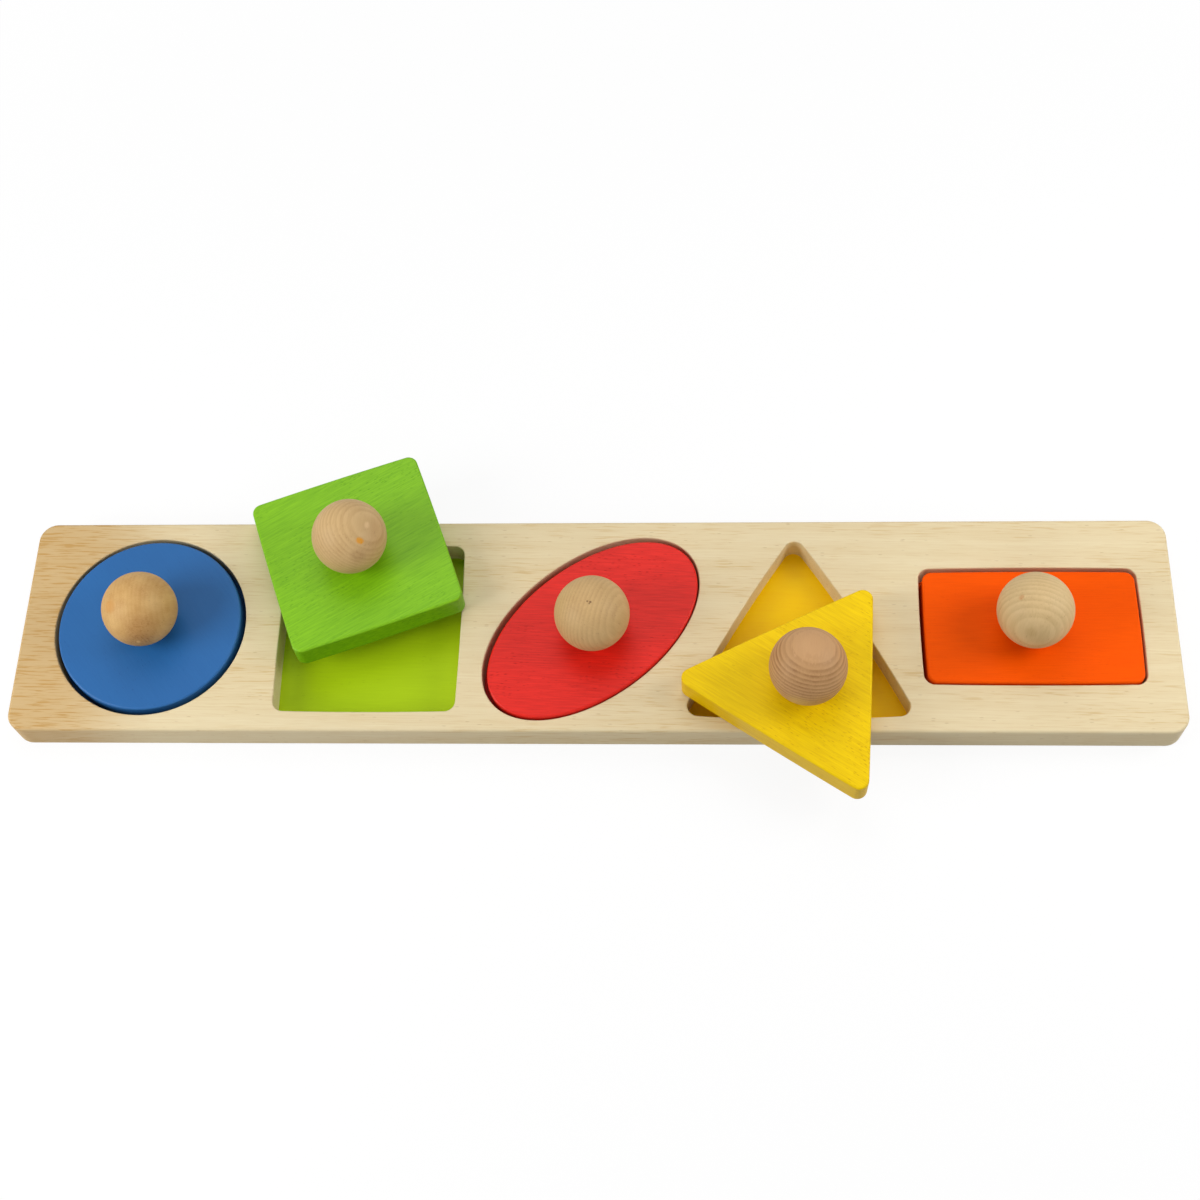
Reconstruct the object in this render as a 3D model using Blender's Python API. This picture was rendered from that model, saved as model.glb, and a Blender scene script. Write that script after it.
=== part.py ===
"""Wooden shape board with five knobbed blocks.

A solid board carries a row of five pockets with painted floors. Each pocket has a
block of its own shape, and each block has a ball knob that a dowel holds. The round,
the elliptical and the rectangular block are in their pockets. The square and the
triangular block lie loose on the board, shifted and turned, partly over their pockets.

The origin is the centre of the board's underside. +X runs along the board, +Y points
to its back edge and +Z is up. All sizes are in metres.
"""

import math
from collections import namedtuple

import bmesh
import bpy
from mathutils import Matrix, Vector

# Blocks, all cut from one board
BLOCK_THICKNESS = 0.013
BLOCK_CORNER_RADIUS = 0.0042
BLOCK_EDGE_RADIUS = 0.001
ROUND_RADIUS = 0.0402
SQUARE_SIDE = 0.0759
ELLIPSE_LONG_RADIUS = 0.0531
ELLIPSE_SHORT_RADIUS = 0.0305
ELLIPSE_LEAN = math.radians(40.7)
TRIANGLE_SIDE = 0.0956
RECTANGLE_LENGTH = 0.0903
RECTANGLE_WIDTH = 0.0516

# Clearance on each side of a block in its pocket. The cornered shapes have it at the
# ends of their sides.
ROUND_CLEARANCE = 0.0019
ELLIPSE_CLEARANCE = 0.0015
CORNERED_CLEARANCE = 0.00125

# How far each side of the cornered shapes swells outwards in its middle
BLOCK_BOW = 0.0003
POCKET_BOW = 0.0004
TRIANGLE_POCKET_BOW = 0.0014

# Board and pockets
POCKET_DEPTH = 0.012
FLOOR_THICKNESS = 0.004
POCKET_RIM_RADIUS = 0.0006
POCKET_CORNER_RADIUS = 0.0046
BOARD_CORNER_RADIUS = 0.008
BOARD_EDGE_RADIUS = 0.0013
END_WALL = 0.0148
SIDE_WALL = 0.0066
ROUND_TO_SQUARE_WALL = 0.0154
SQUARE_TO_ELLIPSE_WALL = 0.0105
TRIANGLE_UNDER_ELLIPSE = 0.0050
TRIANGLE_TO_RECTANGLE_WALL = 0.0060

# How far each pocket lies in front of the board's middle
ROUND_TOWARDS_FRONT = 0.0005
SQUARE_TOWARDS_FRONT = 0.0014
ELLIPSE_TOWARDS_FRONT = 0.0015
TRIANGLE_TOWARDS_FRONT = 0.0022
RECTANGLE_TOWARDS_FRONT = 0.0010

# Ball knobs and their dowels
KNOB_RADIUS = 0.016
KNOB_SEAT_RIM = 0.0009
DOWEL_RADIUS = 0.004
DOWEL_IN_KNOB = 0.012
DOWEL_END_CHAMFER = 0.0005

# Knob holes are drilled a little off the middle: x and y from the block's centre
CENTRED_KNOB = (0.0, 0.0)
SQUARE_KNOB = (-0.0001, -0.0005)
ELLIPSE_KNOB = (0.0004, -0.0004)
TRIANGLE_KNOB = (0.0002, 0.0013)
RECTANGLE_KNOB = (-0.0010, 0.0003)

# Where the blocks lie. A seated one has slid this way until it is this near the wall.
CONTACT_GAP = 0.0003
ELLIPSE_SLID_TO = math.radians(-50)
ELLIPSE_WALL_GAP = 0.0003
RECTANGLE_SLID_TO = math.radians(-77)
RECTANGLE_WALL_GAP = 0.0003
SQUARE_SHIFT = (-0.0065, 0.0299)
SQUARE_TURN = math.radians(20.5)
TRIANGLE_SHIFT = (0.0019, -0.0197)
TRIANGLE_TURN = math.radians(-33.5)

# Facets of the round forms
CIRCLE_STEPS = 72
CORNER_STEP = math.radians(11.25)
SIDE_STEPS = 6
RIM_STEPS = 3
KNOB_STEPS = 30
KNOB_RINGS = 14
DOWEL_STEPS = 24
EDGE_SEGMENTS = 2

# Finishes: display colour and roughness
BARE_BOARD = ((0.90, 0.81, 0.64), 0.55)
TURNED_WOOD = ((0.79, 0.65, 0.46), 0.5)
DOWEL_WOOD = ((0.80, 0.68, 0.50), 0.6)
BLUE_PAINT = ((0.20, 0.41, 0.64), 0.45)
GREEN_PAINT = ((0.52, 0.76, 0.18), 0.45)
RED_PAINT = ((0.88, 0.22, 0.19), 0.45)
YELLOW_PAINT = ((0.95, 0.80, 0.13), 0.45)
ORANGE_PAINT = ((0.98, 0.38, 0.06), 0.45)

# block(grow) and pocket(grow) give the outlines of a block and of its pocket about their
# own centres, grown outwards. knob is the place of the knob's hole in the block.
Shape = namedtuple("Shape", "name block pocket knob paint")


def clear_scene():
    for old in list(bpy.data.objects):
        bpy.data.objects.remove(old, do_unlink=True)


def to_linear(value):
    """Display colour to the linear value that the shader takes."""
    if value <= 0.04045:
        return value / 12.92
    return ((value + 0.055) / 1.055) ** 2.4


def make_material(name, finish):
    colour, roughness = finish
    material = bpy.data.materials.new(name)
    material.use_nodes = True
    shader = material.node_tree.nodes["Principled BSDF"]
    shader.inputs["Base Color"].default_value = [to_linear(c) for c in colour] + [1.0]
    shader.inputs["Roughness"].default_value = roughness
    shader.inputs["Metallic"].default_value = 0.0
    return material


def rounded_polygon(corners, radius, bow, grow):
    """Outline of a convex polygon with round corners and bowed sides, grown outwards.

    The corners run anticlockwise. Each arc keeps its centre as the outline grows, so a
    grown outline is everywhere the same distance outside the first one.
    """
    arcs = []
    count = len(corners)
    for index, corner in enumerate(corners):
        here = Vector(corner)
        before = (here - Vector(corners[index - 1])).normalized()
        after = (Vector(corners[(index + 1) % count]) - here).normalized()
        turn = before.angle(after)
        inwards = (after - before).normalized()
        centre = here + inwards * radius / math.cos(turn / 2)
        start = math.atan2(-before.x, before.y)
        steps = max(2, round(turn / CORNER_STEP))
        angles = [start + turn * step / steps for step in range(steps + 1)]
        arcs.append([
            centre + (radius + grow) * Vector((math.cos(angle), math.sin(angle)))
            for angle in angles
        ])
    points = []
    for arc, next_arc in zip(arcs, arcs[1:] + arcs[:1]):
        points += arc + bowed_side(arc[-1], next_arc[0], bow)
    return points


def bowed_side(start, end, bow):
    """Points between the ends of a side that swells to the right by the bow."""
    if not bow:
        return []
    along = end - start
    outwards = Vector((along.y, -along.x)).normalized()
    points = []
    for step in range(1, SIDE_STEPS):
        share = step / SIDE_STEPS
        points.append(start + along * share + outwards * bow * 4 * share * (1 - share))
    return points


def rectangle_corners(length, width):
    return [
        (length / 2, width / 2),
        (-length / 2, width / 2),
        (-length / 2, -width / 2),
        (length / 2, -width / 2),
    ]


def triangle_corners(side):
    """Equilateral, with one point towards the back and its centroid at the origin."""
    reach = side / math.sqrt(3)
    angles = [math.radians(a) for a in (90, 210, 330)]
    return [(reach * math.cos(a), reach * math.sin(a)) for a in angles]


def round_block(grow):
    return ellipse_points(ROUND_RADIUS, ROUND_RADIUS, 0.0, grow)


def round_pocket(grow):
    return round_block(ROUND_CLEARANCE + grow)


def square_block(grow):
    corners = rectangle_corners(SQUARE_SIDE, SQUARE_SIDE)
    return rounded_polygon(corners, BLOCK_CORNER_RADIUS, BLOCK_BOW, grow)


def square_pocket(grow):
    side = SQUARE_SIDE + 2 * CORNERED_CLEARANCE
    return rounded_polygon(rectangle_corners(side, side), POCKET_CORNER_RADIUS, POCKET_BOW, grow)


def ellipse_block(grow):
    return ellipse_points(ELLIPSE_LONG_RADIUS, ELLIPSE_SHORT_RADIUS, ELLIPSE_LEAN, grow)


def ellipse_pocket(grow):
    return ellipse_block(ELLIPSE_CLEARANCE + grow)


def triangle_block(grow):
    corners = triangle_corners(TRIANGLE_SIDE)
    return rounded_polygon(corners, BLOCK_CORNER_RADIUS, BLOCK_BOW, grow)


def triangle_pocket(grow):
    corners = triangle_corners(TRIANGLE_SIDE + 2 * math.sqrt(3) * CORNERED_CLEARANCE)
    return rounded_polygon(corners, POCKET_CORNER_RADIUS, TRIANGLE_POCKET_BOW, grow)


def rectangle_block(grow):
    corners = rectangle_corners(RECTANGLE_LENGTH, RECTANGLE_WIDTH)
    return rounded_polygon(corners, BLOCK_CORNER_RADIUS, BLOCK_BOW, grow)


def rectangle_pocket(grow):
    length = RECTANGLE_LENGTH + 2 * CORNERED_CLEARANCE
    width = RECTANGLE_WIDTH + 2 * CORNERED_CLEARANCE
    return rounded_polygon(
        rectangle_corners(length, width), POCKET_CORNER_RADIUS, POCKET_BOW, grow)


def ellipse_points(long_radius, short_radius, lean, grow):
    """Points of an ellipse, each moved outwards along its normal and leant over."""
    points = []
    for step in range(CIRCLE_STEPS):
        angle = 2 * math.pi * step / CIRCLE_STEPS
        point = Vector((long_radius * math.cos(angle), short_radius * math.sin(angle)))
        normal = Vector((math.cos(angle) / long_radius, math.sin(angle) / short_radius))
        x, y = point + normal.normalized() * grow
        points.append((
            x * math.cos(lean) - y * math.sin(lean),
            x * math.sin(lean) + y * math.cos(lean),
        ))
    return points


def span(points, axis):
    values = [point[axis] for point in points]
    return min(values), max(values)


def lay_out_row(shapes, row):
    """Pocket centres along the board, and the board's length and width.

    Each entry of the row is the wall after a pocket, and how far the pocket lies in
    front of the board's middle. Pocket widths and walls are added up from the left
    end, then the row is centred on the origin.
    """
    centres = []
    reached = END_WALL
    widest = 0.0
    for shape, (wall, towards_front) in zip(shapes, row):
        left, right = span(shape.pocket(0.0), 0)
        front, back = span(shape.pocket(0.0), 1)
        centres.append([reached - left, -towards_front - (front + back) / 2])
        reached += right - left + wall
        widest = max(widest, back - front)
    for centre in centres:
        centre[0] -= reached / 2
    return centres, reached, widest + 2 * SIDE_WALL


def mesh_object(name, bm, parent=None, material=None):
    mesh = bpy.data.meshes.new(name)
    bmesh.ops.recalc_face_normals(bm, faces=bm.faces)
    bm.to_mesh(mesh)
    bm.free()
    mesh.shade_smooth()
    mesh.set_sharp_from_angle(angle=math.radians(35))
    piece = bpy.data.objects.new(name, mesh)
    bpy.context.collection.objects.link(piece)
    piece.parent = parent
    if material:
        mesh.materials.append(material)
    return piece


def prism(outline, bottom, top):
    """Solid between two heights over an outline."""
    bm = bmesh.new()
    base = bm.faces.new([bm.verts.new((x, y, bottom)) for x, y in outline])
    raised = bmesh.ops.extrude_face_region(bm, geom=[base])
    moved = [item for item in raised["geom"] if isinstance(item, bmesh.types.BMVert)]
    bmesh.ops.translate(bm, verts=moved, vec=(0, 0, top - bottom))
    return bm


def round_edges(piece, radius, segments):
    """Round the rims between the flat faces and the sides."""
    bevel = piece.modifiers.new("edge_rounding", "BEVEL")
    bevel.width = radius
    bevel.segments = segments
    bevel.limit_method = "ANGLE"
    bevel.angle_limit = math.radians(60)


def as_cutter(piece):
    piece.hide_render = True
    piece.display_type = "WIRE"


def cut(piece, cutter, name):
    boolean = piece.modifiers.new(name, "BOOLEAN")
    boolean.operation = "DIFFERENCE"
    boolean.solver = "EXACT"
    boolean.material_mode = "TRANSFER"
    boolean.object = cutter


def pocket_cutter(shape, centre, wood, paint):
    """Tool that mills one pocket: straight walls, a flat floor and a rounded rim.

    Rings of points follow the pocket's outline. At the rim they follow a quarter
    circle, whose last chord runs on to as far above the board's top.
    The floor face is the painted one, and the walls show bare wood.
    """
    rim_foot = FLOOR_THICKNESS + POCKET_DEPTH - POCKET_RIM_RADIUS
    levels = [(FLOOR_THICKNESS, 0.0)]
    for step in range(RIM_STEPS):
        angle = math.pi / 2 * step / RIM_STEPS
        rise = POCKET_RIM_RADIUS * math.sin(angle)
        flare = POCKET_RIM_RADIUS * (1 - math.cos(angle))
        levels.append((rim_foot + rise, flare))
    levels.append((
        rim_foot + 2 * POCKET_RIM_RADIUS - rise,
        2 * POCKET_RIM_RADIUS - flare,
    ))
    bm = bmesh.new()
    rings = []
    for height, grow in levels:
        rings.append([bm.verts.new((x, y, height)) for x, y in shape.pocket(grow)])
    floor = bm.faces.new(rings[0])
    bm.faces.new(rings[-1])
    for lower, upper in zip(rings, rings[1:]):
        for index in range(len(lower)):
            after = (index + 1) % len(lower)
            bm.faces.new((lower[index], lower[after], upper[after], upper[index]))
    floor.material_index = 1
    cutter = mesh_object(shape.name + "_pocket_cutter", bm, material=wood)
    cutter.data.materials.append(paint)
    cutter.location = (centre[0], centre[1], 0)
    as_cutter(cutter)
    return cutter


def make_board(shapes, centres, length, width):
    """One solid board with round corners and eased edges, milled with five pockets."""
    wood = make_material("board_wood", BARE_BOARD)
    outline = rounded_polygon(rectangle_corners(length, width), BOARD_CORNER_RADIUS, 0.0, 0.0)
    board = mesh_object("board", prism(outline, 0.0, FLOOR_THICKNESS + POCKET_DEPTH), material=wood)
    round_edges(board, BOARD_EDGE_RADIUS, EDGE_SEGMENTS)
    for shape, centre in zip(shapes, centres):
        paint = make_material(shape.name + "_floor_paint", shape.paint)
        cut(board, pocket_cutter(shape, centre, wood, paint), shape.name + "_pocket")


def make_knob(name, seat, parent, material):
    """Turned ball with a small flat seat and a blind dowel hole.

    The profile starts at the top of the ball and runs down its outside, across the
    seat and up the hole to the axis, and is then spun round the axis.
    """
    hole = DOWEL_RADIUS + CONTACT_GAP
    seat_radius = hole + KNOB_SEAT_RIM
    centre = seat + math.sqrt(KNOB_RADIUS ** 2 - seat_radius ** 2)
    lowest = -math.acos(seat_radius / KNOB_RADIUS)
    profile = []
    for ring in range(KNOB_RINGS + 1):
        angle = math.pi / 2 + (lowest - math.pi / 2) * ring / KNOB_RINGS
        profile.append((KNOB_RADIUS * math.cos(angle), centre + KNOB_RADIUS * math.sin(angle)))
    profile[0] = (0.0, centre + KNOB_RADIUS)
    ceiling = seat + DOWEL_IN_KNOB + CONTACT_GAP
    profile += [(hole, seat), (hole, ceiling), (0.0, ceiling)]

    bm = bmesh.new()
    verts = [bm.verts.new((radius, 0, height)) for radius, height in profile]
    edges = [bm.edges.new(pair) for pair in zip(verts, verts[1:])]
    bmesh.ops.spin(
        bm, geom=verts + edges, cent=(0, 0, 0), axis=(0, 0, 1),
        angle=2 * math.pi, steps=KNOB_STEPS, use_merge=True,
    )
    bmesh.ops.remove_doubles(bm, verts=bm.verts, dist=1e-6)
    return mesh_object(name, bm, parent, material)


def make_dowel(name, bottom, top, parent, material):
    bm = bmesh.new()
    bmesh.ops.create_cone(
        bm, cap_ends=True, segments=DOWEL_STEPS,
        radius1=DOWEL_RADIUS, radius2=DOWEL_RADIUS, depth=top - bottom,
    )
    dowel = mesh_object(name, bm, parent, material)
    dowel.location.z = (bottom + top) / 2
    round_edges(dowel, DOWEL_END_CHAMFER, 1)
    return dowel


def dowel_hole_cutter(name, parent):
    """Drill through the block for its dowel."""
    bm = bmesh.new()
    bmesh.ops.create_cone(
        bm, cap_ends=True, segments=DOWEL_STEPS, radius1=DOWEL_RADIUS + CONTACT_GAP,
        radius2=DOWEL_RADIUS + CONTACT_GAP, depth=2 * BLOCK_THICKNESS,
    )
    cutter = mesh_object(name, bm, parent)
    cutter.location.z = BLOCK_THICKNESS / 2
    as_cutter(cutter)
    return cutter


def make_knobbed_block(shape, centre, underside, turn):
    """Block, knob and dowel under one empty, which stands on the knob's axis."""
    knob = Vector(shape.knob)
    axis = bpy.data.objects.new(shape.name + "_axis", None)
    axis.location = (Vector(centre) + knob @ Matrix.Rotation(-turn, 2)).to_3d()
    axis.location.z = underside
    axis.rotation_euler.z = turn
    bpy.context.collection.objects.link(axis)

    outline = [Vector(point) - knob for point in shape.block(0.0)]
    block = mesh_object(
        shape.name + "_block", prism(outline, 0.0, BLOCK_THICKNESS), axis,
        make_material(shape.name + "_paint", shape.paint),
    )
    round_edges(block, BLOCK_EDGE_RADIUS, EDGE_SEGMENTS)
    cut(block, dowel_hole_cutter(shape.name + "_dowel_drill", axis), "dowel_hole")

    seat = BLOCK_THICKNESS + CONTACT_GAP
    make_knob(
        shape.name + "_knob", seat, axis, make_material(shape.name + "_knob_wood", TURNED_WOOD)
    )
    make_dowel(
        shape.name + "_dowel", CONTACT_GAP, seat + DOWEL_IN_KNOB, axis,
        make_material(shape.name + "_dowel_wood", DOWEL_WOOD),
    )


def slide(heading, distance):
    return Vector((distance * math.cos(heading), distance * math.sin(heading)))


def build():
    clear_scene()
    shapes = [
        Shape("round", round_block, round_pocket, CENTRED_KNOB, BLUE_PAINT),
        Shape("square", square_block, square_pocket, SQUARE_KNOB, GREEN_PAINT),
        Shape("ellipse", ellipse_block, ellipse_pocket, ELLIPSE_KNOB, RED_PAINT),
        Shape("triangle", triangle_block, triangle_pocket, TRIANGLE_KNOB, YELLOW_PAINT),
        Shape("rectangle", rectangle_block, rectangle_pocket, RECTANGLE_KNOB, ORANGE_PAINT),
    ]
    row = [
        (ROUND_TO_SQUARE_WALL, ROUND_TOWARDS_FRONT),
        (SQUARE_TO_ELLIPSE_WALL, SQUARE_TOWARDS_FRONT),
        (-TRIANGLE_UNDER_ELLIPSE, ELLIPSE_TOWARDS_FRONT),
        (TRIANGLE_TO_RECTANGLE_WALL, TRIANGLE_TOWARDS_FRONT),
        (END_WALL, RECTANGLE_TOWARDS_FRONT),
    ]
    centres, length, width = lay_out_row(shapes, row)
    make_board(shapes, centres, length, width)

    # Each block's shift from its pocket's centre, what it stands on, and its turn
    floor = FLOOR_THICKNESS + CONTACT_GAP
    board_top = FLOOR_THICKNESS + POCKET_DEPTH + CONTACT_GAP
    lies = {
        "round": ((0.0, 0.0), floor, 0.0),
        "square": (SQUARE_SHIFT, board_top, SQUARE_TURN),
        "ellipse": (slide(ELLIPSE_SLID_TO, ELLIPSE_CLEARANCE - ELLIPSE_WALL_GAP), floor, 0.0),
        "triangle": (TRIANGLE_SHIFT, board_top, TRIANGLE_TURN),
        "rectangle": (
            slide(RECTANGLE_SLID_TO, CORNERED_CLEARANCE - RECTANGLE_WALL_GAP), floor, 0.0,
        ),
    }
    for shape, centre in zip(shapes, centres):
        shift, underside, turn = lies[shape.name]
        make_knobbed_block(shape, Vector(centre) + Vector(shift), underside, turn)


build()
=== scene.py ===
"""Wooden shape board with five knobbed blocks, dressed for rendering.

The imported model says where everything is. Each of its pieces is made again here, with the
same sizes, as a smooth closed surface with true round edges. Wood and paint are solid
patterns that run through a piece, so that its faces, edges and ends agree. All sizes are
in metres, and colours are written as they show on a screen, from 0 to 255.
"""

import math

import bmesh
import bpy
import numpy as np
from mathutils import Matrix, Vector
from mathutils.geometry import tessellate_polygon


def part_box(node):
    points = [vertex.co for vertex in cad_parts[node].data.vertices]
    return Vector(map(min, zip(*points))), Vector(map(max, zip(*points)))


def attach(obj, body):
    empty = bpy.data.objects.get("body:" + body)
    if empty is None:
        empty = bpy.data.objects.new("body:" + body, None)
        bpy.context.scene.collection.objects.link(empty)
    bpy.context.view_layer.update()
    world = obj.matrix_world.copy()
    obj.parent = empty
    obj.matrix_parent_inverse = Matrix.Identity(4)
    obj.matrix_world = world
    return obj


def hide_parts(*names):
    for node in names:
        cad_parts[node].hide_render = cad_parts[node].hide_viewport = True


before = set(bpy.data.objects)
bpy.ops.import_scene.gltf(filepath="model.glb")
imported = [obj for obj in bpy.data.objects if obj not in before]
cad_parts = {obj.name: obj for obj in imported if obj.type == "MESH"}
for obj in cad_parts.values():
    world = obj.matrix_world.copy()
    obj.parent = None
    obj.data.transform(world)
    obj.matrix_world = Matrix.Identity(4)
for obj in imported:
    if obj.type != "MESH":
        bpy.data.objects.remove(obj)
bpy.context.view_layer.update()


# Board
# One plank of pale hardwood with round corners and eased edges, sanded and lacquered matt.
# Five flat-bottomed pockets are milled into it from above. Their walls are bare wood, and
# their floors are painted in the colours of the blocks.

BOARD_CORNER_RADIUS = 0.008
BOARD_EDGE_RADIUS = 0.0013
POCKET_DEPTH = 0.012
POCKET_RIM_RADIUS = 0.0006
POCKET_CORNER_RADIUS = 0.0046
BLOCK_CORNER_RADIUS = 0.0042

ROUND_RADIUS = 0.0402
SQUARE_SIDE = 0.0759
ELLIPSE_LONG_RADIUS = 0.0531
ELLIPSE_SHORT_RADIUS = 0.0305
ELLIPSE_LEAN = math.radians(40.7)
TRIANGLE_SIDE = 0.0956
RECTANGLE_LENGTH = 0.0903
RECTANGLE_WIDTH = 0.0516

ROUND_CLEARANCE = 0.0019
ELLIPSE_CLEARANCE = 0.0015
CORNERED_CLEARANCE = 0.00125
BLOCK_BOW = 0.0003
POCKET_BOW = 0.0004
TRIANGLE_POCKET_BOW = 0.0014

# The wall before each pocket along the board, and how far in front of the middle it lies
POCKET_ROW = {
    "round": (0.0148, 0.0005),
    "square": (0.0154, 0.0014),
    "ellipse": (0.0105, 0.0015),
    "triangle": (-0.0050, 0.0022),
    "rectangle": (0.0060, 0.0010),
}

CIRCLE_STEPS = 240
CORNER_STEPS = 16
SIDE_STEPS = 24
EDGE_STEPS = 6
SHARP_ANGLE = math.radians(40)
WELD = 1e-6


def rounded_polygon(corners, radius, bow, grow):
    """Outline of a polygon with round corners and bowed sides, moved outwards by grow.

    The corners run anticlockwise. Each is an arc about the point that lies the radius in
    from both its sides, from the one side's outward normal to the other's. Between two
    arcs the side swells outwards as a parabola, by the bow in its middle.
    """
    corners = np.asarray(corners)
    after = np.roll(corners, -1, axis=0) - corners
    after /= np.linalg.norm(after, axis=1)[:, None]
    before = np.roll(after, 1, axis=0)
    turn = np.arccos(np.sum(before * after, axis=1))
    inwards = after - before
    inwards /= np.linalg.norm(inwards, axis=1)[:, None]
    centres = corners + inwards * (radius / np.cos(turn / 2))[:, None]
    start = np.arctan2(-before[:, 0], before[:, 1])
    angle = start[:, None] + turn[:, None] * np.linspace(0, 1, CORNER_STEPS + 1)
    arcs = centres[:, None] + (radius + grow) * np.stack((np.cos(angle), np.sin(angle)), axis=-1)
    if not bow:
        return arcs.reshape(-1, 2)
    share = np.linspace(0, 1, SIDE_STEPS + 1)[1:-1, None]
    ends = np.roll(arcs[:, :1], -1, axis=0)
    outwards = np.column_stack((after[:, 1], -after[:, 0]))[:, None]
    sides = arcs[:, -1:] + (ends - arcs[:, -1:]) * share + outwards * bow * 4 * share * (1 - share)
    return np.concatenate((arcs, sides), axis=1).reshape(-1, 2)


def rectangle_corners(length, width):
    return np.array([(1, 1), (-1, 1), (-1, -1), (1, -1)]) * (length / 2, width / 2)


def triangle_corners(side):
    """Equilateral, with one point towards the back and its centroid at the origin."""
    angle = np.radians((90, 210, 330))
    return side / math.sqrt(3) * np.column_stack((np.cos(angle), np.sin(angle)))


def ellipse(long_radius, short_radius, lean, grow):
    """Outline of an ellipse, each point moved along its normal by grow, then leant over."""
    angle = np.linspace(0, 2 * np.pi, CIRCLE_STEPS, endpoint=False)
    wave = np.column_stack((np.cos(angle), np.sin(angle)))
    normal = wave / (long_radius, short_radius)
    normal /= np.linalg.norm(normal, axis=1)[:, None]
    return (wave * (long_radius, short_radius) + normal * grow) @ turned_by(lean)


def turned_by(angle):
    """Matrix that turns rows of x and y anticlockwise."""
    return np.array([(math.cos(angle), math.sin(angle)), (-math.sin(angle), math.cos(angle))])


def round_block(grow):
    return ellipse(ROUND_RADIUS, ROUND_RADIUS, 0.0, grow)


def round_pocket(grow):
    return round_block(ROUND_CLEARANCE + grow)


def square_block(grow):
    corners = rectangle_corners(SQUARE_SIDE, SQUARE_SIDE)
    return rounded_polygon(corners, BLOCK_CORNER_RADIUS, BLOCK_BOW, grow)


def square_pocket(grow):
    side = SQUARE_SIDE + 2 * CORNERED_CLEARANCE
    return rounded_polygon(rectangle_corners(side, side), POCKET_CORNER_RADIUS, POCKET_BOW, grow)


def ellipse_block(grow):
    return ellipse(ELLIPSE_LONG_RADIUS, ELLIPSE_SHORT_RADIUS, ELLIPSE_LEAN, grow)


def ellipse_pocket(grow):
    return ellipse_block(ELLIPSE_CLEARANCE + grow)


def triangle_block(grow):
    corners = triangle_corners(TRIANGLE_SIDE)
    return rounded_polygon(corners, BLOCK_CORNER_RADIUS, BLOCK_BOW, grow)


def triangle_pocket(grow):
    """Sides that move outwards on all three sides grow longer by 2 sqrt 3 times the move."""
    corners = triangle_corners(TRIANGLE_SIDE + 2 * math.sqrt(3) * CORNERED_CLEARANCE)
    return rounded_polygon(corners, POCKET_CORNER_RADIUS, TRIANGLE_POCKET_BOW, grow)


def rectangle_block(grow):
    corners = rectangle_corners(RECTANGLE_LENGTH, RECTANGLE_WIDTH)
    return rounded_polygon(corners, BLOCK_CORNER_RADIUS, BLOCK_BOW, grow)


def rectangle_pocket(grow):
    length = RECTANGLE_LENGTH + 2 * CORNERED_CLEARANCE
    width = RECTANGLE_WIDTH + 2 * CORNERED_CLEARANCE
    corners = rectangle_corners(length, width)
    return rounded_polygon(corners, POCKET_CORNER_RADIUS, POCKET_BOW, grow)


POCKETS = {
    "round": round_pocket,
    "square": square_pocket,
    "ellipse": ellipse_pocket,
    "triangle": triangle_pocket,
    "rectangle": rectangle_pocket,
}


def quarter_circle(radius):
    """Steps sideways and upwards from the start of a quarter circle that first runs upwards."""
    angle = np.linspace(0, np.pi / 2, EDGE_STEPS + 1)
    return radius * (1 - np.cos(angle)), radius * np.sin(angle)


def eased_side(bottom, top, radius):
    """Section of an upright side with both its edges rounded: rows of grow and height."""
    sideways, upwards = quarter_circle(radius)
    lower = np.column_stack((-sideways, bottom + radius - upwards))[::-1]
    upper = np.column_stack((-sideways, top - radius + upwards))
    return np.concatenate((lower, upper))


def pocket_side(floor, top):
    """Section of a pocket's wall, which rounds outwards into the rim: rows of grow and height."""
    sideways, upwards = quarter_circle(POCKET_RIM_RADIUS)
    rim = np.column_stack((sideways, top - POCKET_RIM_RADIUS + upwards))
    return np.concatenate(([(0.0, floor)], rim))


def ring(flat_outline, height):
    return np.column_stack((flat_outline, np.full(len(flat_outline), height)))


def carried(section, outline, place):
    """Wall over a grid: a section's rows of grow and height, each carried along the outline."""
    return lofted([ring(outline(grow) + place, height) for grow, height in section])


def lofted(rings):
    """Closed strips of four-sided faces between rings with as many points each."""
    points = np.asarray(rings)
    levels, around = points.shape[:2]
    index = np.arange(levels * around).reshape(levels, around)
    beside = np.roll(index, -1, axis=1)
    faces = np.stack((index[:-1], beside[:-1], beside[1:], index[1:]), axis=-1)
    return points.reshape(-1, 3), faces.reshape(-1, 4)


def level_face(*rings):
    """Flat face inside the first ring and outside the others, cut into triangles."""
    return np.concatenate(rings), np.array(tessellate_polygon(rings))


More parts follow.
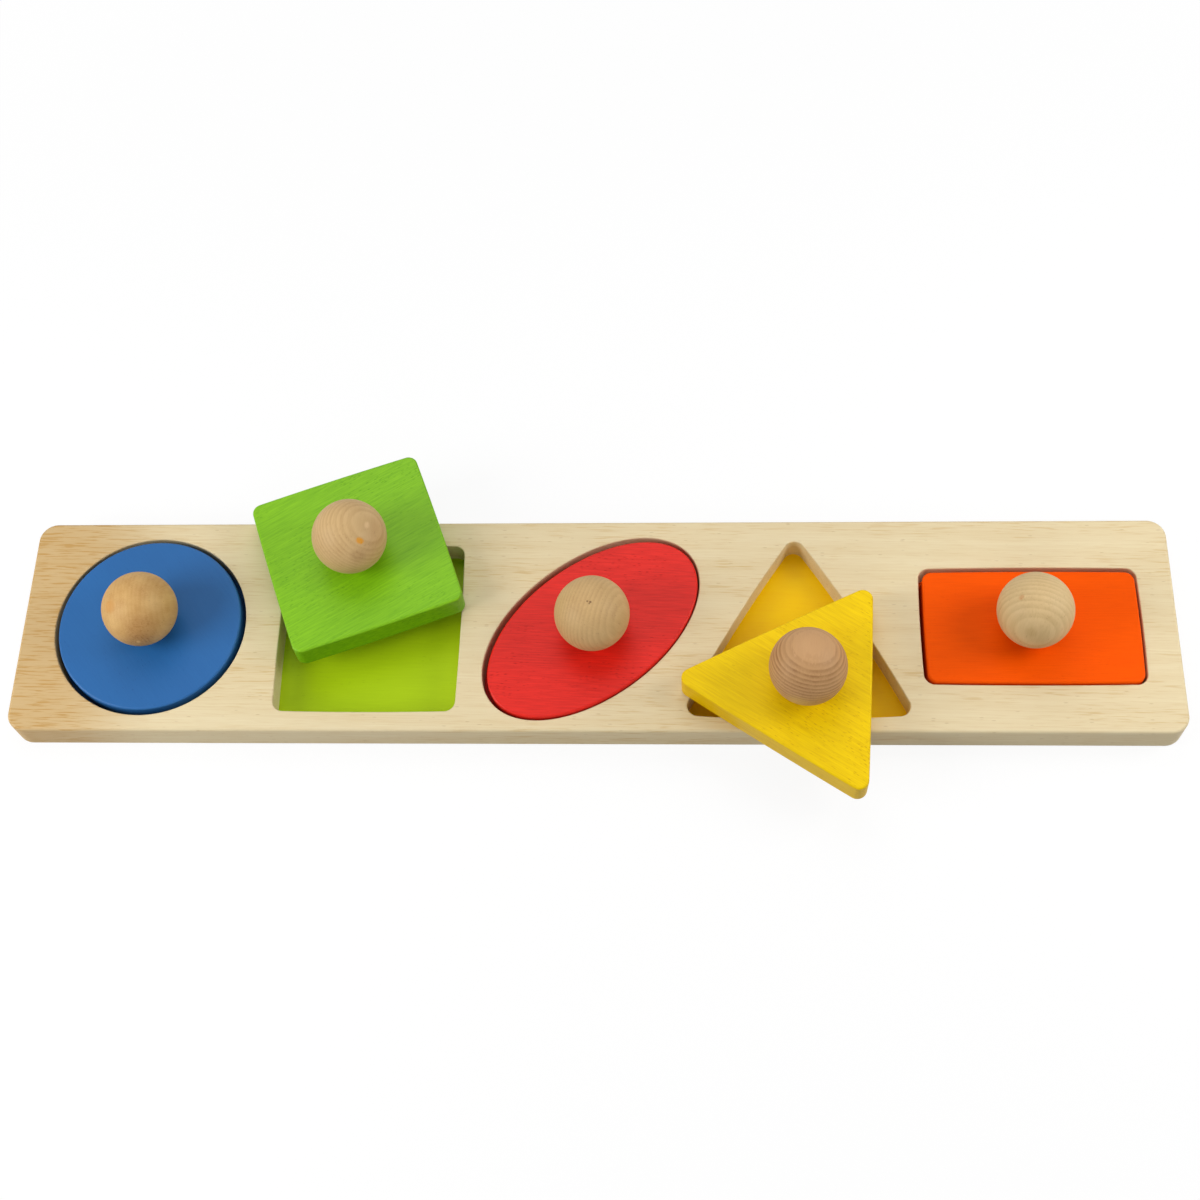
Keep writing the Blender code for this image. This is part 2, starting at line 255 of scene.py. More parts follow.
def make_piece(name, surfaces, body, nodes):
    """Closed solid from surfaces that meet edge to edge.

    Each surface is its points and its faces, and comes with its material. Points that
    coincide are merged, faces are turned outwards, and flat faces keep their own normals
    next to the round edges.
    """
    mesh = bpy.data.meshes.new(name)
    materials = list(dict.fromkeys(material for _, material in surfaces))
    for material in materials:
        mesh.materials.append(material)
    all_points = np.concatenate([points for (points, _), _ in surfaces])
    all_faces = []
    finishes = []
    start = 0
    for (points, faces), material in surfaces:
        all_faces += (faces + start).tolist()
        finishes += [materials.index(material)] * len(faces)
        start += len(points)
    mesh.from_pydata(all_points, [], all_faces)
    mesh.polygons.foreach_set("material_index", finishes)

    solid = bmesh.new()
    solid.from_mesh(mesh)
    bmesh.ops.remove_doubles(solid, verts=solid.verts, dist=WELD)
    bmesh.ops.recalc_face_normals(solid, faces=solid.faces)
    solid.to_mesh(mesh)
    solid.free()
    mesh.shade_smooth()
    mesh.set_sharp_from_angle(angle=SHARP_ANGLE)

    piece = bpy.data.objects.new(name, mesh)
    bpy.context.collection.objects.link(piece)
    piece.modifiers.new("flat_faces_stay_flat", "WEIGHTED_NORMAL").keep_sharp = True
    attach(piece, body)
    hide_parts(*nodes)


def shown(red, green, blue):
    """Colour as it shows on a screen, made linear for a shader."""
    value = np.array((red, green, blue)) / 255
    linear = np.where(value <= 0.04045, value / 12.92, ((value + 0.055) / 1.055) ** 2.4)
    return (*linear.tolist(), 1.0)


# Late wood in a year's ring, as shares of the ring's width: where it starts and is darkest,
# and where it starts to end and is gone
LATE_WOOD_DARKENS = (0.10, 0.78)
LATE_WOOD_ENDS = (0.80, 1.0)

# Noise in the rings, in ring widths along the grain and across it: a slow and a quick one
# that bend them, and one that makes some stretches fainter
SLOW_WANDER = (30, 7)
QUICK_WANDER = (8, 1.2)
QUICK_WANDER_SHARE = 0.15
FAINT_STRETCHES = (12, 3)
RING_CONTRAST = 1.6

# A pore and a mark are full out to these shares of their reach, and fade from there
PORE_CORE = 0.45
MARK_CORE = 0.35

RELIEF_DEPTH = 0.00003


class Shader:
    """Node tree of a material or of the world, with a call for each kind of pattern.

    A pattern in wood is laid out in cells that have a length along the grain and a width
    across it. The grain runs along x, turned by the turn that each call is given.
    """

    def __init__(self, owner):
        owner.use_nodes = True
        self.owner = owner
        self.tree = owner.node_tree
        self.surface = self.tree.nodes.get("Principled BSDF")

    def node(self, kind, inputs, output=0, **settings):
        """One node. Each input is a constant or the output of another node."""
        node = self.tree.nodes.new("ShaderNode" + kind)
        for name, value in settings.items():
            setattr(node, name, value)
        for name, value in inputs.items():
            self.connect(value, node.inputs[name])
        return node.outputs[output]

    def connect(self, value, socket):
        if isinstance(value, bpy.types.NodeSocket):
            self.tree.links.new(value, socket)
        else:
            socket.default_value = value

    def calculate(self, operation, *values):
        return self.node("Math", dict(enumerate(values)), operation=operation)

    def opposite(self, value):
        """1 less the value."""
        return self.calculate("SUBTRACT", 1.0, value)

    def total(self, base, *weighted):
        """The base plus each pattern times its weight."""
        for pattern, weight in weighted:
            base = self.calculate("MULTIPLY_ADD", pattern, weight, base)
        return base

    def varied(self, middle, *weighted):
        """Value that wavers about its middle as each noise wavers about a half."""
        return self.total(middle - sum(weight for _, weight in weighted) / 2, *weighted)

    def fade(self, value, start, end):
        """0 before the start and 1 after the end, with a smooth step between them."""
        inputs = {"Value": value, "From Min": start, "From Max": end}
        return self.node("MapRange", inputs, interpolation_type="SMOOTHSTEP")

    def mix(self, amount, first, second):
        inputs = {0: amount, 6: first, 7: second}
        return self.node("Mix", inputs, output=2, data_type="RGBA")

    def place(self):
        """Place on the piece at rest, in metres."""
        return self.node("TexCoord", {}, output="Object")

    def distance(self, steps):
        """Length of a vector."""
        return self.node("VectorMath", {0: steps}, output="Value", operation="LENGTH")

    def cells(self, length, width, turn, origin=(0, 0, 0)):
        """Place on the piece, turned along the grain and counted in cells of this size."""
        size = (length, width, width)
        inputs = {"Vector": self.place(), "Location": origin, "Rotation": turn, "Scale": size}
        return self.node("Mapping", inputs, vector_type="TEXTURE")

    def cloud(self, length, width, turn, detail=2.0):
        """Soft noise from 0 to 1, one wave to a cell."""
        inputs = {"Vector": self.cells(length, width, turn), "Scale": 1.0, "Detail": detail}
        return self.node("TexNoise", inputs)

    def pores(self, length, width, turn, reach, share):
        """Lens-shaped marks near the points of a share of the cells, out to this reach."""
        cell = self.tree.nodes.new("ShaderNodeTexVoronoi")
        self.connect(self.cells(length, width, turn), cell.inputs["Vector"])
        self.connect(1.0, cell.inputs["Scale"])
        outside = self.fade(cell.outputs["Distance"], reach * PORE_CORE, reach)
        chance = self.node("SeparateColor", {"Color": cell.outputs["Color"]})
        chosen = self.calculate("LESS_THAN", chance, share)
        return self.calculate("MULTIPLY", self.opposite(outside), chosen)

    def mark(self, place, length, width, turn):
        """Soft-edged mark of this size: 1 at its place, 0 outside it."""
        away = self.distance(self.cells(length, width, turn, place))
        return self.opposite(self.fade(away, MARK_CORE, 1.0))

    def growth_rings(self, heart, turn, width, wander):
        """Late wood of each year's ring: 0 in the early wood, up to 1 near the outer edge.

        The distance from the heart of the log, which runs along the grain, is counted in
        ring widths. Noise wanders in it and fades it here and there, so that no two rings
        are alike.
        """
        slow = self.cloud(*np.multiply(SLOW_WANDER, width), turn, detail=1.0)
        quick = self.cloud(*np.multiply(QUICK_WANDER, width), turn, detail=1.0)
        strength = self.cloud(*np.multiply(FAINT_STRETCHES, width), turn)
        from_heart = self.cells(1, 1, turn, heart)
        across = self.node("VectorMath", {0: from_heart, 1: (0, 1, 1)}, operation="MULTIPLY")
        count = self.calculate("DIVIDE", self.distance(across), width)
        count = self.total(count, (slow, wander), (quick, wander * QUICK_WANDER_SHARE))
        share = self.calculate("FRACT", count)
        late = self.fade(share, *LATE_WOOD_DARKENS)
        next_ring = self.fade(share, *LATE_WOOD_ENDS)
        ring = self.calculate("MULTIPLY", late, self.opposite(next_ring))
        return self.calculate("MULTIPLY", ring, self.total(0.0, (strength, RING_CONTRAST)))

    def finish(self, colour, gloss, roughness, relief):
        """Join colour, gloss, roughness and a shallow relief to the surface."""
        self.connect(colour, self.surface.inputs["Base Color"])
        self.connect(gloss, self.surface.inputs["Specular IOR Level"])
        self.connect(roughness, self.surface.inputs["Roughness"])
        bump = {"Height": relief, "Distance": RELIEF_DEPTH, "Strength": 1.0}
        self.connect(self.node("Bump", bump), self.surface.inputs["Normal"])
        return self.owner


# Patterns in bare wood, as length along the grain and width across it. Fibres, the threads
# in them and darker lines have their width here, and each wood gives their length.
WOOD_DRIFT = (0.110, 0.014)
WOOD_BLOTS = (0.012, 0.006)
WOOD_PORES = (0.0050, 0.0009)
FIBRE_WIDTH = 0.0006
THREAD_WIDTH = 0.00022
LINE_WIDTH = 0.0007

WOOD_PORE_REACH = 0.26
WOOD_PORE_SHADE = 0.35
THREAD_LENGTH_SHARE = 0.4
THREAD_WEIGHT_SHARE = 0.35
WOOD_DRIFT_WEIGHT = 0.45

# Between which levels of their noise the lines and the zones that they gather in fade in,
# and how much of a line is left outside the zones
LINES_FADE_IN = (0.50, 0.68)
LINE_ZONES_FADE_IN = (0.42, 0.60)
LINES_OUTSIDE_ZONES = 0.35

# How far the wood is towards its dark tone, and what rings and lines add to that on average
WOOD_DEPTH = 0.40
RING_MEAN = 0.35
LINE_MEAN = 0.20

# How much of a mark is even, and how much more the lines in it have
MARK_EVEN = 0.9
MARK_LINES = 0.7

WOOD_GLOSS = 0.3
WOOD_ROUGHNESS = 0.50


def wood(name, tones, turn, heart, ring, streaks, lines, blotches, pore_share, marks=()):
    """Sanded hardwood: growth rings, fine fibres, darker lines and short pores.

    The tones are those of early wood, late wood and pores. A ring has its width, its wander
    and its weight, the streaks have their length and weight, and the lines their length and
    weight. The lines gather in some zones. Each mark has a place, a length and width, a
    colour and a share, and is streaked like the wood round it. Some marks are painted shade.
    """
    shader = Shader(bpy.data.materials.new(name))
    pale, dark, pore = (shown(*tone) for tone in tones)
    ring_width, ring_wander, ring_weight = ring
    streak_length, streak_weight = streaks
    line_length, line_weight = lines
    thread_length = streak_length * THREAD_LENGTH_SHARE
    thread_weight = streak_weight * THREAD_WEIGHT_SHARE

    rings = shader.growth_rings(heart, turn, ring_width, ring_wander)
    drift = shader.cloud(*WOOD_DRIFT, turn)
    blots = shader.cloud(*WOOD_BLOTS, turn)
    fibres = shader.cloud(streak_length, FIBRE_WIDTH, turn)
    threads = shader.cloud(thread_length, THREAD_WIDTH, turn, detail=1.0)
    pores = shader.pores(*WOOD_PORES, turn, WOOD_PORE_REACH, pore_share)
    grain = shader.fade(shader.cloud(line_length, LINE_WIDTH, turn, detail=3.0), *LINES_FADE_IN)
    zones = shader.fade(drift, *LINE_ZONES_FADE_IN)
    zones = shader.total(LINES_OUTSIDE_ZONES, (zones, 1 - LINES_OUTSIDE_ZONES))

    depth = shader.varied(
        WOOD_DEPTH - ring_weight * RING_MEAN - line_weight * LINE_MEAN,
        (drift, WOOD_DRIFT_WEIGHT), (blots, blotches), (fibres, streak_weight),
        (threads, thread_weight))
    depth = shader.total(
        depth, (rings, ring_weight), (shader.calculate("MULTIPLY", grain, zones), line_weight))
    colour = shader.mix(depth, pale, dark)
    colour = shader.mix(shader.calculate("MULTIPLY", pores, WOOD_PORE_SHADE), colour, pore)
    for place, (length, width), tone, share in marks:
        mark = shader.mark(place, length, width, turn)
        streaked = shader.total(share * MARK_EVEN, (grain, share * MARK_LINES))
        colour = shader.mix(shader.calculate("MULTIPLY", mark, streaked), colour, shown(*tone))
    roughness = shader.total(WOOD_ROUGHNESS, (fibres, 0.12), (pores, 0.15))
    relief = shader.total(0.0, (fibres, 0.35), (threads, 0.2), (pores, -1.0))
    return shader.finish(colour, WOOD_GLOSS, roughness, relief)


# Patterns in painted wood, as length along the grain and width across it, with the patches
# where the flecks gather
PAINT_DRIFT = (0.045, 0.012)
PAINT_FIBRES = (0.011, 0.0006)
PAINT_FLECKS = (0.0032, 0.00065)
FLECK_PATCHES = (0.030, 0.020)

FLECK_REACH = 0.30
PATCHES_FADE_IN = (0.35, 0.65)
PAINT_DRIFT_WEIGHT = 0.25

# How deep the paint's tone is on the sides and how much lighter it is on the face, since the
# darker sides are painted shade, and how far below the face that painted shade is full and is gone
PAINT_DEPTH = 0.48
SIDE_PAINTED_SHADE = 0.28
SIDE_SHADE_FULL_DEPTH = 0.0012
SIDE_SHADE_GONE_DEPTH = 0.0004

PAINT_ROUGHNESS = 0.36


def painted_wood(name, tones, heading, streaks, flecks, gloss, face):
    """Thin satin paint on hardwood: the grain tints it, its pores stay as fine dark flecks.

    The tones are those of the paint where it is thin and where it is deep, and the heading
    of the grain is in degrees. The streaks have their weight, and the flecks the share of
    cells that have one and their weight. Below the height of the face the sides are painted
    darker, as painted shade.
    """
    shader = Shader(bpy.data.materials.new(name))
    thin, deep = (shown(*tone) for tone in tones)
    turn = (0, 0, math.radians(heading))
    fleck_share, fleck_weight = flecks

    drift = shader.cloud(*PAINT_DRIFT, turn)
    fibres = shader.cloud(*PAINT_FIBRES, turn)
    patches = shader.fade(shader.cloud(*FLECK_PATCHES, turn), *PATCHES_FADE_IN)
    marks = shader.pores(*PAINT_FLECKS, turn, FLECK_REACH, fleck_share)
    marks = shader.calculate("MULTIPLY", marks, patches)
    height = shader.node("SeparateXYZ", {0: shader.place()}, output="Z")
    # Painted shade: the sides below the face are darker than the face
    face_without_side_shade = shader.fade(height, face - SIDE_SHADE_FULL_DEPTH, face - SIDE_SHADE_GONE_DEPTH)

    depth = shader.varied(PAINT_DEPTH, (drift, PAINT_DRIFT_WEIGHT), (fibres, streaks))
    depth = shader.total(depth, (marks, fleck_weight), (face_without_side_shade, -SIDE_PAINTED_SHADE))
    roughness = shader.total(PAINT_ROUGHNESS, (fibres, 0.14), (marks, 0.15))
    relief = shader.total(0.0, (fibres, 0.5), (marks, -1.0))
    return shader.finish(shader.mix(depth, thin, deep), gloss, roughness, relief)


board_low, board_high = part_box("board")
pocket_floor = board_high.z - POCKET_DEPTH
board_size = board_high - board_low

# Walls and pockets follow each other from the board's left end
pocket_places = {}
reached = board_low.x
for shape, (wall_before, towards_front) in POCKET_ROW.items():
    pocket = POCKETS[shape](0.0)
    reached += wall_before
    middle = (pocket[:, 1].min() + pocket[:, 1].max()) / 2
    pocket_places[shape] = np.array((reached - pocket[:, 0].min(), -towards_front - middle))
    reached += np.ptp(pocket[:, 0])


def board_outline(grow):
    corners = rectangle_corners(board_size.x, board_size.y)
    return rounded_polygon(corners, BOARD_CORNER_RADIUS, 0.0, grow)


# The plank's left end is darker and warmer: a mark with its place, size, colour and share.
# It is partly a warmer tone of the wood and partly painted shade, where the light falls off
# towards that end.
left_end_tone_and_shade = (Vector((board_low.x, 0, 0)), (0.075, 0.14), (190, 150, 88), 0.75)
board_wood = wood(
    "board_wood", ((232, 218, 181), (207, 177, 123), (166, 130, 84)),
    turn=(0, 0, math.radians(-1.0)), heart=(0, 0.10, -0.055), ring=(0.0065, 1.5, 0.10),
    streaks=(0.040, 0.40), lines=(0.012, 0.45), blotches=0.12, pore_share=0.12,
    marks=[left_end_tone_and_shade])

# The paint's tones on each pocket's floor, where it is thin and where it is deep
FLOOR_TONES = {
    "round": ((34, 94, 156), (20, 60, 112)),
    "square": ((182, 214, 18), (130, 164, 4)),
    "ellipse": ((222, 30, 18), (170, 10, 6)),
    "triangle": ((254, 214, 0), (236, 154, 0)),
    "rectangle": ((248, 90, 4), (206, 60, 0)),
}
floor_paints = {
    shape: painted_wood(
        shape + "_floor_paint", tones, heading=0, streaks=0.25, flecks=(0.2, 0.3), gloss=0.12,
        face=pocket_floor)
    for shape, tones in FLOOR_TONES.items()
}

board_section = eased_side(board_low.z, board_high.z, BOARD_EDGE_RADIUS)
board_shell = carried(board_section, board_outline, 0.0)
underside = level_face(ring(board_outline(-BOARD_EDGE_RADIUS), board_low.z))
pocket_rims = []
pocket_surfaces = []
for shape, pocket in POCKETS.items():
    place = pocket_places[shape]
    walls = carried(pocket_side(pocket_floor, board_high.z), pocket, place)
    floor = level_face(ring(pocket(0.0) + place, pocket_floor))
    pocket_rims.append(ring(pocket(POCKET_RIM_RADIUS) + place, board_high.z))
    pocket_surfaces += [(walls, board_wood), (floor, floor_paints[shape])]
top = level_face(ring(board_outline(-BOARD_EDGE_RADIUS), board_high.z), *pocket_rims)
make_piece(
    "milled_board",
    [(board_shell, board_wood), (underside, board_wood), (top, board_wood), *pocket_surfaces],
    "board", ["board"])


# Blocks
# Five flat blocks sawn from one thickness of hardwood, with eased edges and a hole drilled
# through for the dowel. Each is dipped in its own thin satin paint, so the grain still shows.

BLOCK_EDGE_RADIUS = 0.001
DOWEL_HOLE_RADIUS = 0.0043
DOWEL_HOLE_STEPS = 48

BLOCKS = {
    "round": round_block,
    "square": square_block,
    "ellipse": ellipse_block,
    "triangle": triangle_block,
    "rectangle": rectangle_block,
}

# Where each knob's hole is drilled, from the block's centre
KNOB_HOLE = {
    "round": (0.0, 0.0),
    "square": (-0.0001, -0.0005),
    "ellipse": (0.0004, -0.0004),
    "triangle": (0.0002, 0.0013),
    "rectangle": (-0.0010, 0.0003),
}

# The square and the triangular block lie loose and turned
BLOCK_TURN = {
    "round": 0.0,
    "square": math.radians(20.5),
    "ellipse": 0.0,
    "triangle": math.radians(-33.5),
    "rectangle": 0.0,
}

# What painted_wood is given for each block
BLOCK_PAINT = {
    "round": dict(
        tones=((38, 104, 168), (20, 74, 134)), heading=-50, streaks=0.20,
        flecks=(0.25, 0.25), gloss=0.28),
    "square": dict(
        tones=((134, 195, 12), (68, 134, 0)), heading=33, streaks=0.90,
        flecks=(0.80, 0.55), gloss=0.28),
    "ellipse": dict(
        tones=((232, 33, 18), (162, 5, 2)), heading=-3, streaks=0.95,
        flecks=(0.60, 0.50), gloss=0.26),
    "triangle": dict(
        tones=((252, 215, 6), (198, 144, 0)), heading=-33, streaks=0.80,
        flecks=(0.75, 0.55), gloss=0.12),
    "rectangle": dict(
        tones=((254, 92, 0), (216, 54, 0)), heading=0, streaks=0.40,
        flecks=(0.45, 0.25), gloss=0.05),
}
block_paints = {
    shape: painted_wood(shape + "_paint", face=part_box(shape + "_block")[1].z, **paint)
    for shape, paint in BLOCK_PAINT.items()
}
BLOCK_BODY = {shape: shape + "_piece" for shape in BLOCKS}


def knob_axis(shape):
    """Place of the knob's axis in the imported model, as x and y."""
    low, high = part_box(shape + "_knob")
    return np.array((low + high)[:2]) / 2


def circle(radius, steps):
    angle = np.linspace(0, 2 * np.pi, steps, endpoint=False)
    return radius * np.column_stack((np.cos(angle), np.sin(angle)))


for shape, outline in BLOCKS.items():
    low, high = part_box(shape + "_block")
    axis = knob_axis(shape)
    turn = turned_by(BLOCK_TURN[shape])
    centre = axis - KNOB_HOLE[shape] @ turn
    hole = circle(DOWEL_HOLE_RADIUS, DOWEL_HOLE_STEPS) + axis
    edge = outline(-BLOCK_EDGE_RADIUS) @ turn + centre
    sides = carried(
        eased_side(low.z, high.z, BLOCK_EDGE_RADIUS), lambda grow: outline(grow) @ turn, centre)
    bore = lofted([ring(hole, low.z), ring(hole, high.z)])
    faces = [level_face(ring(edge, z), ring(hole, z)) for z in (low.z, high.z)]
    surfaces = [(surface, block_paints[shape]) for surface in (sides, bore, *faces)]
    make_piece(
        shape + "_painted_block", surfaces, BLOCK_BODY[shape], [shape + "_block"])


# Knobs
# Balls turned from hardwood, sanded and lacquered matt. Each has a small flat seat on its
# block and a blind hole for the dowel. Every ball was cut from the log another way, so its
# growth rings show another figure.

KNOB_RADIUS = 0.016
KNOB_SEAT_RIM = 0.0009
KNOB_HOLE_DEPTH = 0.0123
KNOB_STEPS = 128
KNOB_RINGS = 72

# How each ball was cut: the way from its centre to the log's bark, the way its fibres run,
# how far off the heart of the log was, and the figure and tones of its wood
KNOB_WOOD = {
    "round": dict(
        bark=(1.0, 0.05, 0.1), fibres=(0.0, -0.4, 0.9), heart_distance=0.20,
        ring=(0.0017, 0.6, 0.10), blotches=1.00,
        tones=((214, 174, 112), (176, 126, 62), (150, 104, 60))),
    "square": dict(
        bark=(0.67, -0.05, 0.74), fibres=(0.1, 1.0, 0.0), heart_distance=0.060,
        ring=(0.0016, 0.7, 0.30), blotches=0.20,
        tones=((216, 184, 132), (180, 140, 88), (160, 118, 74))),
    "ellipse": dict(
        bark=(0.86, -0.32, 0.38), fibres=(0.0, -0.12, 1.0), heart_distance=0.040,
        ring=(0.0017, 0.7, 0.22), blotches=0.35,
        tones=((214, 180, 126), (172, 132, 82), (140, 100, 62))),
    "triangle": dict(
        bark=(0.12, 0.20, 0.97), fibres=(0.1, 1.0, 0.0), heart_distance=0.080,
        ring=(0.0016, 0.5, 0.60), blotches=0.25,
        tones=((202, 158, 107), (150, 104, 62), (142, 98, 66))),
    "rectangle": dict(
        bark=(-0.17, -0.88, 0.43), fibres=(0.1, 0.4, 0.9), heart_distance=0.050,
        ring=(0.0021, 0.5, 0.26), blotches=0.25,
        tones=((222, 194, 144), (184, 152, 102), (156, 118, 76))),
}

# Small knots and spots on the balls, and painted shade on the round ball's lower front: the
# way to each from the ball's centre, its size along the fibres and across, its colour and how
# strongly it shows
KNOB_MARKS_AND_SHADE = {
    "round": [
        # Painted shade: these two darker marks darken the round ball's lower front
        ((0.27, -0.81, 0.45), (0.0110, 0.0090), (160, 108, 54), 0.42),
        ((0.14, -0.96, 0.00), (0.0080, 0.0100), (140, 92, 44), 0.40),
        ((-0.55, -0.30, 0.80), (0.0070, 0.0040), (206, 142, 60), 0.40),
        ((0.12, -0.99, 0.05), (0.0014, 0.0012), (222, 184, 124), 0.6),
    ],
    "square": [
        ((0.46, -0.51, 0.73), (0.0018, 0.0024), (226, 154, 40), 0.95),
        ((0.62, -0.07, 0.78), (0.0022, 0.0017), (228, 196, 146), 0.45),
        ((0.39, -0.81, 0.44), (0.0034, 0.0050), (160, 120, 72), 0.30),
    ],
    "ellipse": [
        ((-0.06, -0.12, 0.99), (0.0007, 0.0006), (100, 62, 34), 0.8),
        ((0.02, -0.14, 0.99), (0.0008, 0.0007), (100, 62, 34), 0.9),
        ((-0.01, -0.18, 0.98), (0.0005, 0.0005), (100, 62, 34), 0.6),
    ],
    "triangle": [
        ((-0.24, -0.96, -0.14), (0.0040, 0.0080), (210, 172, 96), 0.5),
        ((0.10, 0.22, 0.97), (0.0140, 0.0150), (200, 155, 108), 1.0),
    ],
    "rectangle": [
        ((-0.26, -0.85, 0.46), (0.0030, 0.0034), (168, 130, 70), 0.25),
        ((-0.50, -0.04, 0.86), (0.0030, 0.0013), (196, 136, 84), 0.6),
    ],
}


def turned(profile, axis):
    """Surface of revolution: each radius and height of the profile carried round the axis."""
    return lofted([ring(circle(radius, KNOB_STEPS) + axis, height) for radius, height in profile])


for shape, cut in KNOB_WOOD.items():
    seat, top = (corner.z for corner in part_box(shape + "_knob"))
    ball_height = top - KNOB_RADIUS
    lowest = math.acos((DOWEL_HOLE_RADIUS + KNOB_SEAT_RIM) / KNOB_RADIUS)
    angle = np.linspace(np.pi / 2, -lowest, KNOB_RINGS + 1)
    outside = np.column_stack((
        KNOB_RADIUS * np.cos(angle), ball_height + KNOB_RADIUS * np.sin(angle)))
    blind_hole = [
        (DOWEL_HOLE_RADIUS, seat),
        (DOWEL_HOLE_RADIUS, seat + KNOB_HOLE_DEPTH),
        (0.0, seat + KNOB_HOLE_DEPTH),
    ]
    axis = knob_axis(shape)
    ball = Vector((*axis, ball_height))
    outwards = Vector(cut["bark"]).normalized()
    along = Vector(cut["fibres"])
    along = (along - along.dot(outwards) * outwards).normalized()
    grain_frame = Matrix((along, outwards.cross(along), outwards)).transposed()
    marks = [
        (ball + Vector(way).normalized() * KNOB_RADIUS, size, tone, share)
        for way, size, tone, share in KNOB_MARKS_AND_SHADE[shape]
    ]
    figure = wood(
        shape + "_knob_wood", cut["tones"], turn=grain_frame.to_euler(),
        heart=ball - outwards * cut["heart_distance"], ring=cut["ring"],
        streaks=(0.018, 0.30), lines=(0.012, 0.14), blotches=cut["blotches"],
        pore_share=0.3, marks=marks)
    surface = turned(np.concatenate((outside, blind_hole)), axis)
    make_piece(
        shape + "_turned_knob", [(surface, figure)], BLOCK_BODY[shape], [shape + "_knob"])


# Dowels
# Short rods of hardwood with chamfered ends, glued through each block into its knob. Only
# their lower ends show, from below.

DOWEL_CHAMFER = 0.0005
DOWEL_TONES = ((222, 190, 140), (184, 146, 98), (150, 112, 70))

# The grain stands upright, and the heart of the log was this far away along x and y
DOWEL_GRAIN_TURN = (0, math.radians(-90), 0)
DOWEL_FROM_HEART = (0.05, 0.02)

DOWEL_BODY = {
    "round": "round_lifter",
    "square": "square_lifter",
    "ellipse": "ellipse_piece",
    "triangle": "triangle_lifter",
    "rectangle": "rectangle_piece",
}

for shape, body in DOWEL_BODY.items():
    low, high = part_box(shape + "_dowel")
    radius = (high.x - low.x) / 2
    profile = [
        (0.0, low.z),
        (radius - DOWEL_CHAMFER, low.z),
        (radius, low.z + DOWEL_CHAMFER),
        (radius, high.z - DOWEL_CHAMFER),
        (radius - DOWEL_CHAMFER, high.z),
        (0.0, high.z),
    ]
    axis = knob_axis(shape)
    figure = wood(
        shape + "_dowel_wood", DOWEL_TONES, turn=DOWEL_GRAIN_TURN,
        heart=(*(axis - DOWEL_FROM_HEART), 0.0), ring=(0.0017, 0.6, 0.4),
        streaks=(0.018, 0.4), lines=(0.012, 0.2), blotches=0.2, pore_share=0.5)
    make_piece(
        shape + "_glued_dowel", [(turned(profile, axis), figure)], body, [shape + "_dowel"])


# Floor, light and camera
# A white table top in a white studio, lit by four broad soft lamps and seen from above its
# front edge. The table lies a hair above the board's underside, so that the underside shows
# and is lit from below.

FLOOR_SIZE = 6.0
FLOOR_LIFT = 0.0001
FLOOR_ROUGHNESS = 0.9

# The grey that the floor has for the light that bounces off it, how much of the object's
# shade is kept in what the camera sees, and between which distances that fades away
FLOOR_BOUNCE = (0.5, 0.5, 0.5, 1.0)
FLOOR_SHADE_KEPT = 0.12
FLOOR_SHADE_FADES = (0.25, 0.60)

WALL_LIGHT = 0.10
CEILING_LIGHT = 0.46

# Where each lamp stands, how wide it is, and its power in watts
LAMPS = {
    "left_lamp": ((-0.66, -0.22, 0.42), 0.45, 3.3),
    "right_lamp": ((0.55, 0.02, 0.38), 0.32, 1.50),
    "back_lamp": ((-0.04, 0.52, 0.75), 0.75, 2.2),
    "front_lamp": ((0.05, -0.75, 0.50), 0.55, 0.75),
}

# The turn is in degrees and the lens in millimetres
CAMERA_PLACE = (0.0501, -0.3223, 0.7162)
CAMERA_TURN = (26.25, 3.05, 1.35)
CAMERA_LENS = 53.64
CAMERA_SHIFT = (-0.00156, -0.01924)
CAMERA_NEAREST = 0.01

WHITE = (1.0, 1.0, 1.0, 1.0)


def seen_directly(shader):
    """1 for rays that show the background itself: to the camera, in gloss, through glass."""
    rays = shader.tree.nodes.new("ShaderNodeLightPath").outputs
    direct = shader.calculate("MAXIMUM", rays["Is Camera Ray"], rays["Is Glossy Ray"])
    return shader.calculate("MAXIMUM", direct, rays["Is Transmission Ray"])


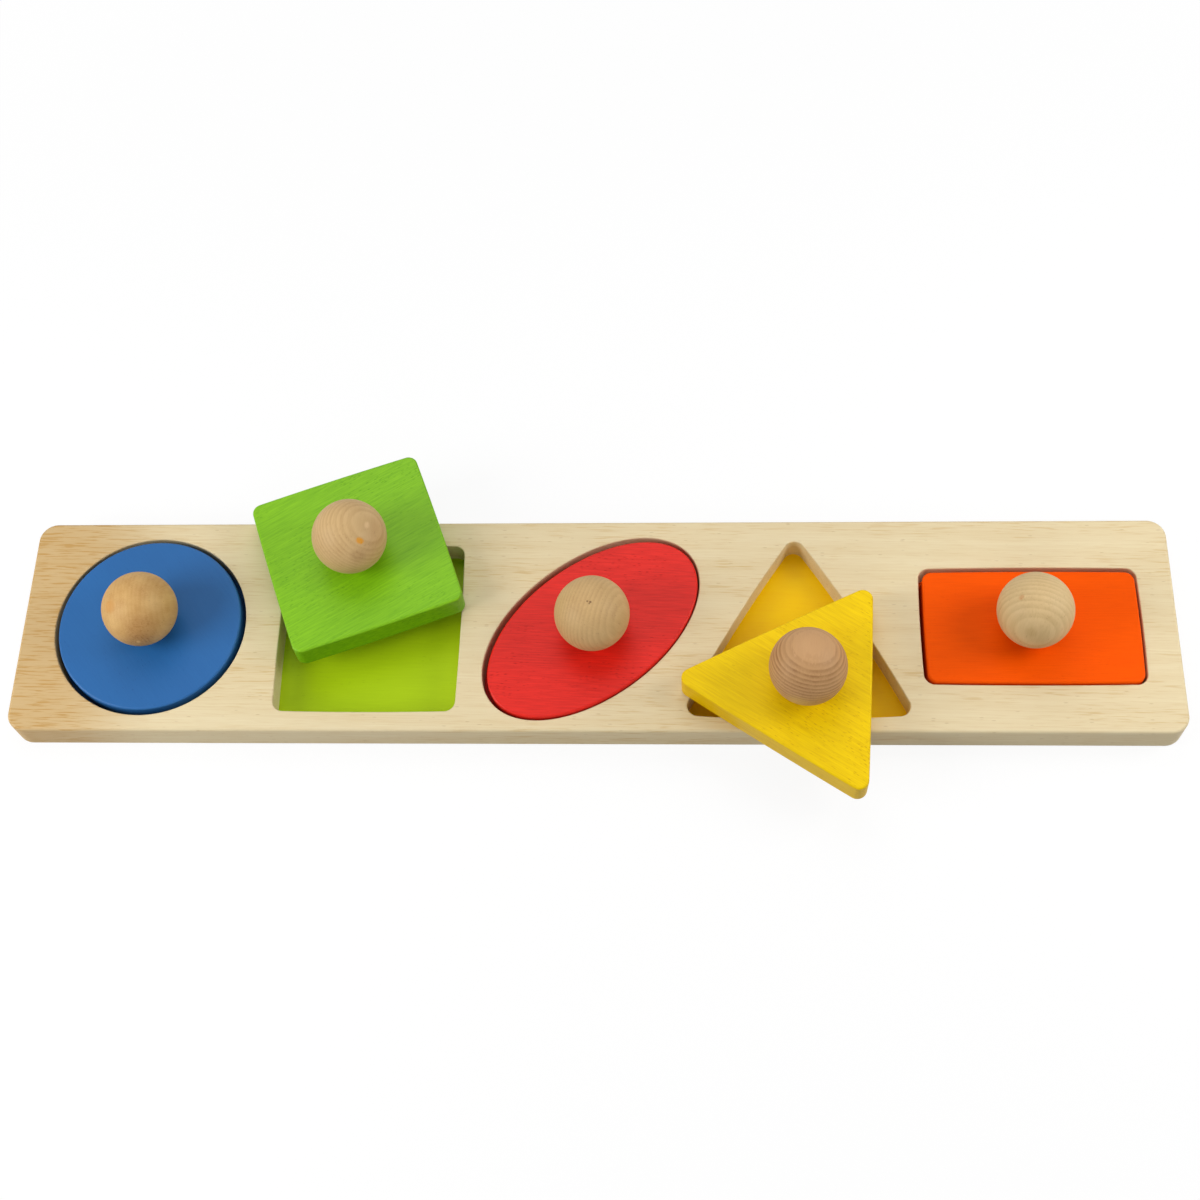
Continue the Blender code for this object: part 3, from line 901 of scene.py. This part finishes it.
table = Shader(bpy.data.materials.new("white_table"))
direct = seen_directly(table)
table.connect(table.mix(direct, FLOOR_BOUNCE, WHITE), table.surface.inputs["Base Color"])
table.connect(FLOOR_ROUGHNESS, table.surface.inputs["Roughness"])
table.connect(0.0, table.surface.inputs["Specular IOR Level"])
glow = table.node("Emission", {"Color": WHITE, "Strength": 1.0})
away = table.distance(table.place())
shade = table.opposite(table.fade(away, *FLOOR_SHADE_FADES))
glow_share = table.calculate("MULTIPLY", direct, table.total(1.0, (shade, -FLOOR_SHADE_KEPT)))
lit = table.node("MixShader", {0: glow_share, 1: table.surface.outputs[0], 2: glow})
table.connect(lit, table.tree.nodes["Material Output"].inputs["Surface"])

table_mesh = bpy.data.meshes.new("table_top")
corners = rectangle_corners(FLOOR_SIZE, FLOOR_SIZE)
table_mesh.from_pydata(ring(corners, board_low.z + FLOOR_LIFT), [], [(0, 1, 2, 3)])
table_mesh.materials.append(table.owner)
table_top = bpy.data.objects.new("table_top", table_mesh)
bpy.context.collection.objects.link(table_top)

studio = Shader(bpy.data.worlds.new("white_studio"))
bpy.context.scene.world = studio.owner
way = studio.node("TexCoord", {}, output="Generated")
height = studio.calculate("ABSOLUTE", studio.node("SeparateXYZ", {0: way}, output="Z"))
daylight = studio.node("MapRange", {"Value": height, "To Min": WALL_LIGHT, "To Max": CEILING_LIGHT})
strength = studio.node("Mix", {0: seen_directly(studio), 2: daylight, 3: 1.0})
background = studio.tree.nodes["Background"].inputs
studio.connect(WHITE, background["Color"])
studio.connect(strength, background["Strength"])

for name, (place, size, power) in LAMPS.items():
    light = bpy.data.lights.new(name, "AREA")
    light.shape = "DISK"
    light.size = size
    light.energy = power
    lamp = bpy.data.objects.new(name, light)
    lamp.location = place
    lamp.rotation_euler = (-Vector(place)).to_track_quat("-Z", "Y").to_euler()
    bpy.context.collection.objects.link(lamp)

camera_data = bpy.data.cameras.new("camera")
camera_data.lens = CAMERA_LENS
camera_data.shift_x, camera_data.shift_y = CAMERA_SHIFT
camera_data.clip_start = CAMERA_NEAREST
camera = bpy.data.objects.new("camera", camera_data)
camera.location = CAMERA_PLACE
camera.rotation_euler = [math.radians(angle) for angle in CAMERA_TURN]
bpy.context.collection.objects.link(camera)
bpy.context.scene.camera = camera
bpy.context.scene.view_settings.view_transform = "Standard"
